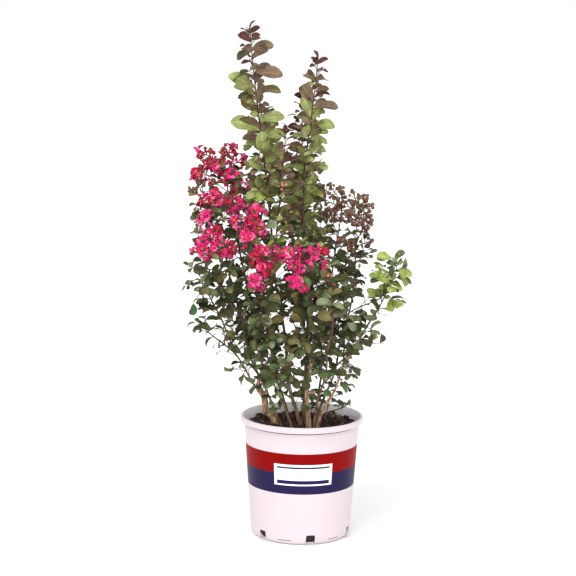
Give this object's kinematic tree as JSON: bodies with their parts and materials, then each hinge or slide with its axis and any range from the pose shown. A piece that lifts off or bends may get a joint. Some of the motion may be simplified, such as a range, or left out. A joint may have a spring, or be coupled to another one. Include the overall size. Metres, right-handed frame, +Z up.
{
  "type": "potted crape myrtle",
  "caption": "Flowering shrub with tall leafy shoots and crinkled bloom clusters, growing from several stems in a round tapered nursery pot filled with bark soil.",
  "frame": {"origin": "centre of the pot's flat underside, on the floor it stands on", "axes": "+Z up along the pot's axis, -Y towards the viewer of the picture, +X to the viewer's right"},
  "size_m": [0.5038, 0.4383, 1.1459],
  "materials": {
    "pot_white": "satin",
    "soil": "rough bark mix",
    "bark": "smooth peeling bark",
    "foliage": "satin leaves and crinkled petals"
  },
  "bodies": {
    "root": {"pot": "pot_white", "soil": "soil", "trunk_left": "bark", "bough_left_high": "bark", "bough_left_low": "bark", "stem_left": "bark", "stem_middle": "bark", "stem_centre": "bark", "stem_right": "bark", "stem_tall_right": "bark", "stem_buds": "bark", "bough_arch": "bark", "stem_front": "bark", "stem_front_right": "bark", "stem_back_left": "bark", "stem_back": "bark", "stem_back_right": "bark", "spire_left": "foliage", "spire_right": "foliage", "spire_middle": "foliage", "spire_small": "foliage", "bloom_top_left": "foliage", "bloom_left": "foliage", "bloom_left_low": "foliage", "bloom_centre_left": "foliage", "bloom_centre": "foliage", "bloom_centre_right": "foliage", "bloom_right": "foliage", "buds_top_right": "foliage", "buds_right": "foliage", "right_tip": "foliage", "arch_right": "foliage", "left_low": "foliage", "left_lowest": "foliage", "left_front": "foliage", "low_front": "foliage", "low_right": "foliage", "low_right_back": "foliage", "core_left": "foliage", "core_middle": "foliage", "core_right": "foliage", "middle_front": "foliage", "back_left": "foliage", "back_middle": "foliage", "back_right": "foliage", "back_low_left": "foliage", "back_low": "foliage", "basal_right": "foliage"}
  },
  "joints": []
}
